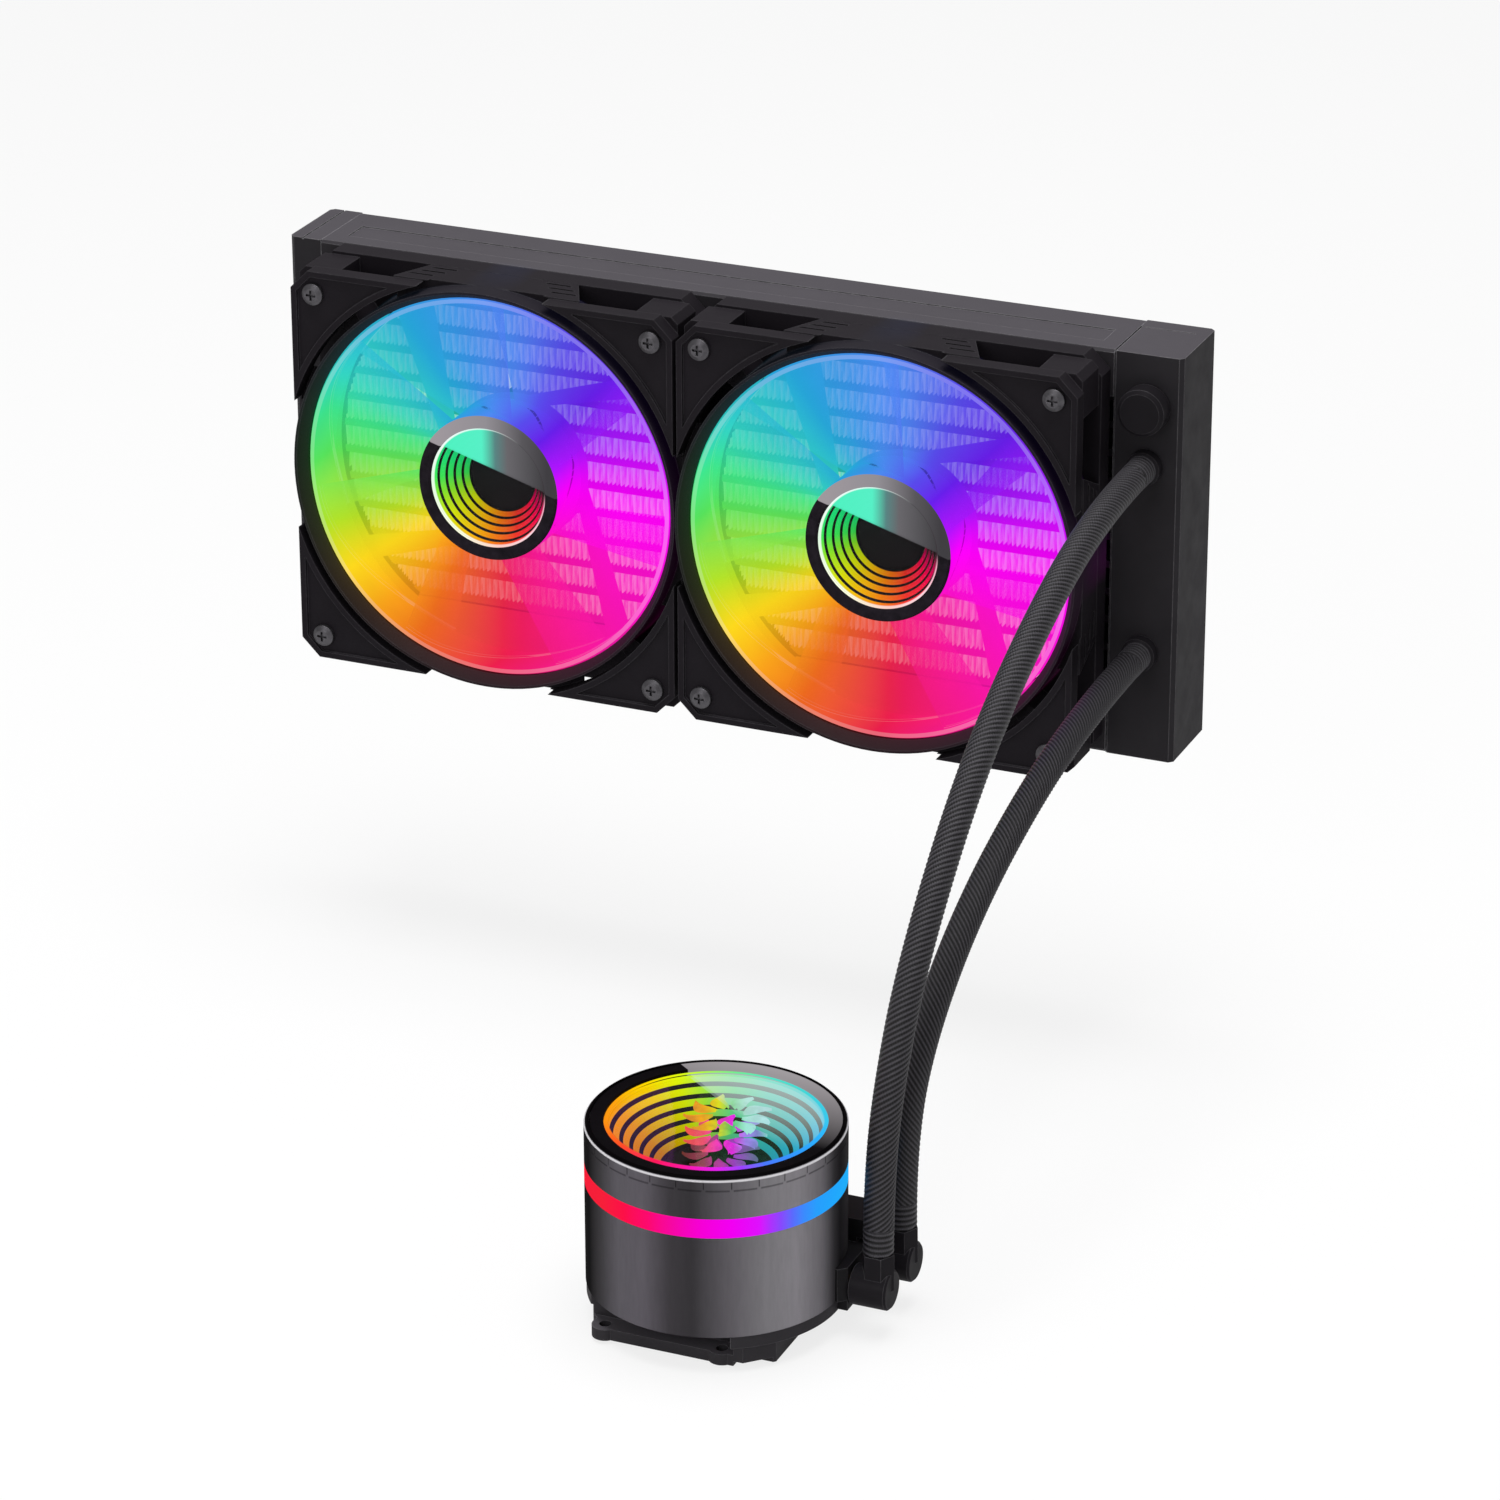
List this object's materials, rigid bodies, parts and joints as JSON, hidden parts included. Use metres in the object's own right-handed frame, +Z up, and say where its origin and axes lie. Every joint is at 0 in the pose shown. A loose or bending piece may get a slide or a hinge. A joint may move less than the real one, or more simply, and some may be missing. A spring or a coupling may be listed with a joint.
{
  "type": "all in one cpu liquid cooler",
  "caption": "Closed loop processor cooler: radiator with lit fans, braided hoses and a round pump block with a lit mirror top.",
  "frame": {"origin": "centre of the mounting hole grid on the radiator's rear face", "axes": "+X along the radiator towards the port tank, +Y out of the radiator's rear face, +Z up, towards the radiator's upper side channel"},
  "size_m": [0.273, 0.2475, 0.2118],
  "materials": {
    "radiator_black": "fine matt black powder coat",
    "core_black": "black coated aluminium, slightly glossy",
    "fitting_black": "satin black anodised",
    "spigot_brass": "turned brass",
    "black_rubber": "soft matt rubber",
    "hose_sleeve": "black braided sleeve over rubber",
    "fan_black": "fine textured black moulding",
    "rotor_frosted": "frosted translucent moulding, lit from its rim",
    "smoked_glass": "clear half mirror",
    "light_diffuser": "milky light guide",
    "silver_mirror": "plane mirror",
    "polished_steel": "ground steel",
    "bearing_bronze": "sintered bronze",
    "magnet_grey": "bonded magnet",
    "stator_steel": "stacked electrical steel",
    "board_green": "green solder mask",
    "screw_steel": "black oxide steel",
    "cold_plate_copper": "finely ground copper",
    "pump_black": "glass filled black nylon",
    "inner_plastic": "natural plastic",
    "ceramic": "white ceramic",
    "gunmetal": "dark grey metallic coat"
  },
  "bodies": {
    "cooler": {"top_channel": "radiator_black", "bottom_channel": "radiator_black", "left_tank": "radiator_black", "right_tank": "radiator_black", "left_header_plate": "radiator_black", "right_header_plate": "radiator_black", "flat_tubes": "core_black", "fin_strips": "core_black", "upper_port_fitting": "fitting_black", "lower_port_fitting": "fitting_black", "filler_plug": "fitting_black", "elbow_spigots": "spigot_brass", "filler_gasket": "black_rubber", "elbow_o_rings": "black_rubber", "cold_plate_gasket": "black_rubber", "upper_hose": "hose_sleeve", "lower_hose": "hose_sleeve", "fan_1_frame": "fan_black", "fan_1_bearing": "bearing_bronze", "fan_1_stator": "stator_steel", "fan_1_circuit_board": "board_green", "fan_2_frame": "fan_black", "fan_2_bearing": "bearing_bronze", "fan_2_stator": "stator_steel", "fan_2_circuit_board": "board_green", "fan_screws": "screw_steel", "cold_plate_screws": "screw_steel", "cold_plate": "cold_plate_copper", "pump_base": "pump_black", "pump_housing": "pump_black", "mirror_bezel": "pump_black", "jet_plate": "inner_plastic", "impeller_shaft": "ceramic", "pump_stator": "stator_steel", "pump_circuit_board": "board_green", "lower_shell": "gunmetal", "upper_shell": "gunmetal", "light_band": "light_diffuser", "light_tunnel": "light_diffuser", "front_mirror": "smoked_glass", "back_mirror": "silver_mirror"},
    "fan_1_turning_parts": {"fan_1_rotor": "rotor_frosted", "fan_1_hub_bezel": "fan_black", "fan_1_hub_lens": "smoked_glass", "fan_1_hub_light_ring": "light_diffuser", "fan_1_hub_mirror": "silver_mirror", "fan_1_magnet_ring": "magnet_grey", "fan_1_shaft": "polished_steel"},
    "fan_2_turning_parts": {"fan_2_rotor": "rotor_frosted", "fan_2_hub_bezel": "fan_black", "fan_2_hub_lens": "smoked_glass", "fan_2_hub_light_ring": "light_diffuser", "fan_2_hub_mirror": "silver_mirror", "fan_2_magnet_ring": "magnet_grey", "fan_2_shaft": "polished_steel"},
    "impeller_turning_parts": {"impeller": "inner_plastic"},
    "front_elbow_turning_parts": {"front_elbow": "fitting_black"},
    "rear_elbow_turning_parts": {"rear_elbow": "fitting_black"}
  },
  "joints": [
    {"name": "fan_1_spin", "type": "hinge", "parent": "cooler", "child": "fan_1_turning_parts", "pos_m": [-0.06, -0.04, 0], "axis": [0, 1, 0], "continuous": true},
    {"name": "fan_2_spin", "type": "hinge", "parent": "cooler", "child": "fan_2_turning_parts", "pos_m": [0.06, -0.04, 0], "axis": [0, 1, 0], "continuous": true},
    {"name": "impeller_spin", "type": "hinge", "parent": "cooler", "child": "impeller_turning_parts", "pos_m": [0.082, -0.213, -0.134], "axis": [0, 0, 1], "continuous": true},
    {"name": "front_elbow_swivel", "type": "hinge", "parent": "cooler", "child": "front_elbow_turning_parts", "pos_m": [0.1259, -0.2085, -0.13855], "axis": [1, 0, 0], "range_deg": [-12, 12], "deforming": ["upper_hose"]},
    {"name": "rear_elbow_swivel", "type": "hinge", "parent": "cooler", "child": "rear_elbow_turning_parts", "pos_m": [0.1259, -0.1916, -0.13855], "axis": [1, 0, 0], "range_deg": [-12, 12], "deforming": ["lower_hose"]}
  ]
}
